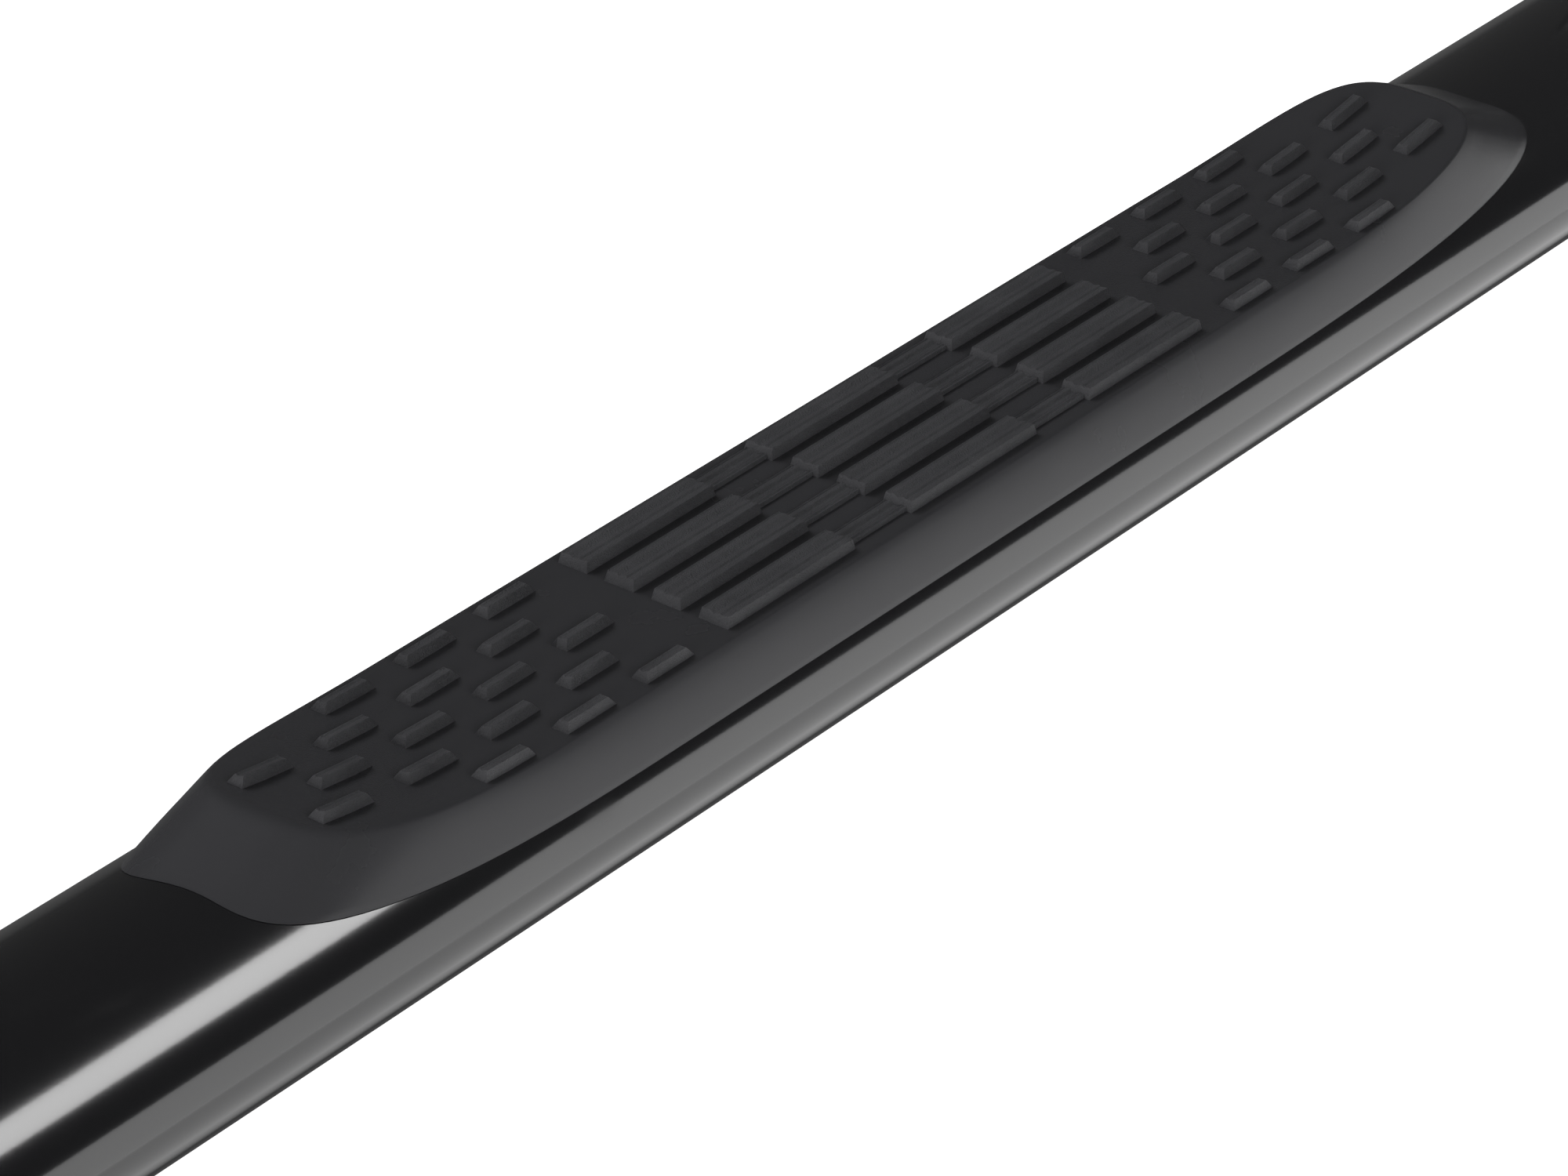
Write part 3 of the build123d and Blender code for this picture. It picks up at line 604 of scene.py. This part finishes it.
def clip_nylon():
    made, tree, shader = material("clip_nylon", (0.72, 0.71, 0.66), 0.45)
    tree.links.new(add_range(tree, add_noise(tree, 200), 0.3, 0.7, 0.38, 0.52), shader.inputs["Roughness"])
    roughen(tree, shader, 2500, 2.0, 0.15, 0.0002)
    return made


def zinc_steel():
    """Bright zinc plate, clouded and slightly warm where it has dulled."""
    made, tree, shader = material("zinc_steel", (0.55, 0.55, 0.56), 0.32, metallic=1.0)
    cloud = add_range(tree, add_noise(tree, 160, 6.0), 0.35, 0.65, 0, 1)
    colour = add_mix(tree, cloud, (0.50, 0.50, 0.51), (0.62, 0.61, 0.58))
    tree.links.new(colour, shader.inputs["Base Color"])
    dulled = add_range(tree, add_noise(tree, 260, 5.0), 0.3, 0.7, 0.25, 0.45)
    tree.links.new(dulled, shader.inputs["Roughness"])
    roughen(tree, shader, 1500, 3.0, 0.1, 0.0002)
    return made


FINISHES = {
    "pad_plastic": pad_plastic(),
    "tube_coat": tube_coat(),
    "bracket_coat": bracket_coat(),
    "cap_plastic": cap_plastic(),
    "saddle_rubber": saddle_rubber(),
    "clip_nylon": clip_nylon(),
    "zinc_steel": zinc_steel(),
}
NODE_FINISH = {
    "pad_clips": "clip_nylon",
    "front_end_cap": "cap_plastic",
    "rear_end_cap": "cap_plastic",
    "front_saddle": "saddle_rubber",
    "rear_saddle": "saddle_rubber",
    "front_bracket_arm": "bracket_coat",
    "rear_bracket_arm": "bracket_coat",
    "front_bracket_gussets": "bracket_coat",
    "rear_bracket_gussets": "bracket_coat",
    "front_hanger_plate": "bracket_coat",
    "rear_hanger_plate": "bracket_coat",
}


def finish(obj, name):
    obj.data.materials.clear()
    obj.data.materials.append(FINISHES[name])


for node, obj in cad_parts.items():
    finish(obj, NODE_FINISH.get(node, "zinc_steel"))
pad, tube = step_pad(), oval_tube()
finish(pad, "pad_plastic")
finish(tube, "tube_coat")

# ---- floor, light and camera ---------------------------------------------------------------
FLOOR_HALF = 12.0
FLOOR_GLOW = 0.85
FLOOR_SHADE = 0.05
FLOOR_PALE = (0.9, 0.9, 0.9)
FLOOR_SHADED = (0.1, 0.1, 0.1)
# in metres inboard of the tube's outboard edge, where the floor's painted shade starts and where it is full
SHADE_STARTS = -0.02
SHADE_FULL = 0.006
WORLD_GLOW = (0.06, 0.06, 0.06, 1)
VIEW_AZIMUTH = 38.046       # direction the camera looks along, from +X towards +Y
VIEW_DOWN = 29.733
VIEW_AIM = (-26.0, 20.1, -14.2)
VIEW_DISTANCE = 1.9959
LENS = 148.3


def floor():
    """A pale floor that glows a little, level with the board's lowest edge, with painted shade under and
    behind the board that only mirrored rays see.
    """
    bm = bmesh.new()
    corners = [(-1, -1), (1, -1), (1, 1), (-1, 1)]
    bm.faces.new([bm.verts.new((FLOOR_HALF * x, FLOOR_HALF * y, cad_low.z)) for x, y in corners])
    plane = new_object("studio_floor", bm)
    made, tree, shader = material("studio_floor", FLOOR_PALE, 0.9)
    shader.inputs["Specular IOR Level"].default_value = 0.0
    shader.inputs["Emission Color"].default_value = (1, 1, 1, 1)
    # painted shade: under and behind the board the floor glows less and is painted dark where the gloss coat
    # mirrors it
    where = tree.nodes.new("ShaderNodeTexCoord")
    split = tree.nodes.new("ShaderNodeSeparateXYZ")
    tree.links.new(where.outputs["Object"], split.inputs["Vector"])
    starts, full = tube_low.y + SHADE_STARTS, tube_low.y + SHADE_FULL
    behind = add_range(tree, split.outputs["Y"], starts, full, 0, 1)
    mirrored = tree.nodes.new("ShaderNodeLightPath").outputs["Is Glossy Ray"]
    shade = add_product(tree, behind, mirrored)
    glow = add_range(tree, shade, 0, 1, FLOOR_GLOW, FLOOR_SHADE)
    tree.links.new(glow, shader.inputs["Emission Strength"])
    tree.links.new(add_mix(tree, shade, FLOOR_PALE, FLOOR_SHADED), shader.inputs["Base Color"])
    plane.data.materials.append(made)


def softbox(name, place, target, width, height, power, mirrored=True, receivers=None):
    """A soft area light. One that isn't mirrored only fills in shade; receivers are all that it lights."""
    lamp = bpy.data.lights.new(name, "AREA")
    lamp.shape = "RECTANGLE"
    lamp.size = width
    lamp.size_y = height
    lamp.energy = power
    obj = bpy.data.objects.new(name, lamp)
    bpy.context.scene.collection.objects.link(obj)
    obj.location = place
    obj.rotation_euler = (Vector(target) - Vector(place)).to_track_quat("-Z", "Y").to_euler()
    obj.visible_glossy = mirrored
    obj.visible_camera = False
    if receivers:
        lit = bpy.data.collections.new(name + "_receivers")
        for piece in receivers:
            lit.objects.link(piece)
        obj.light_linking.receiver_collection = lit


def camera():
    lens = bpy.data.cameras.new("camera")
    lens.sensor_width = 36.0
    lens.lens = LENS
    lens.clip_end = 100.0
    obj = bpy.data.objects.new("camera", lens)
    bpy.context.scene.collection.objects.link(obj)
    azimuth, down = math.radians(VIEW_AZIMUTH), math.radians(VIEW_DOWN)
    ahead = Vector((math.cos(down) * math.cos(azimuth), math.cos(down) * math.sin(azimuth), -math.sin(down)))
    obj.location = in_frame(*VIEW_AIM) - ahead * VIEW_DISTANCE
    obj.rotation_euler = ahead.to_track_quat("-Z", "Y").to_euler()
    bpy.context.scene.camera = obj


board = [piece for piece in bpy.data.objects if piece.type == "MESH"]
floor()
camera()
# the gloss coat mirrors the strip and the wall, and the satin pad gets no light from them
glossy = [piece for piece in bpy.data.objects if piece.type == "MESH" and piece != pad]
softbox("strip_overhead", (0.75, -0.10, 1.40), (-0.3, -0.10, 0), 0.44, 0.9, 9.0, receivers=glossy)
softbox("wall_outboard", (4.0, -3.0, 1.5), (4.0, 0, 1.5), 8.0, 3.0, 147.0, receivers=glossy)
# the fills light the shaded sides and aren't mirrored
softbox("fill_rear", (-4.0, -0.5, 0.6), (0, 0, 0), 3.0, 1.0, 130.0, mirrored=False)
softbox("fill_outboard", (-0.4, -3.2, 2.0), (0, 0, 0), 3.0, 1.2, 42.0, mirrored=False)
softbox("fill_inboard", (-0.3, 2.4, 2.6), (0, 0, 0), 2.5, 1.2, 105.0, mirrored=False, receivers=board)
world = bpy.data.worlds.new("studio")
bpy.context.scene.world = world
world.use_nodes = True
world.node_tree.nodes["Background"].inputs["Color"].default_value = WORLD_GLOW
bpy.context.scene.view_settings.view_transform = "Standard"
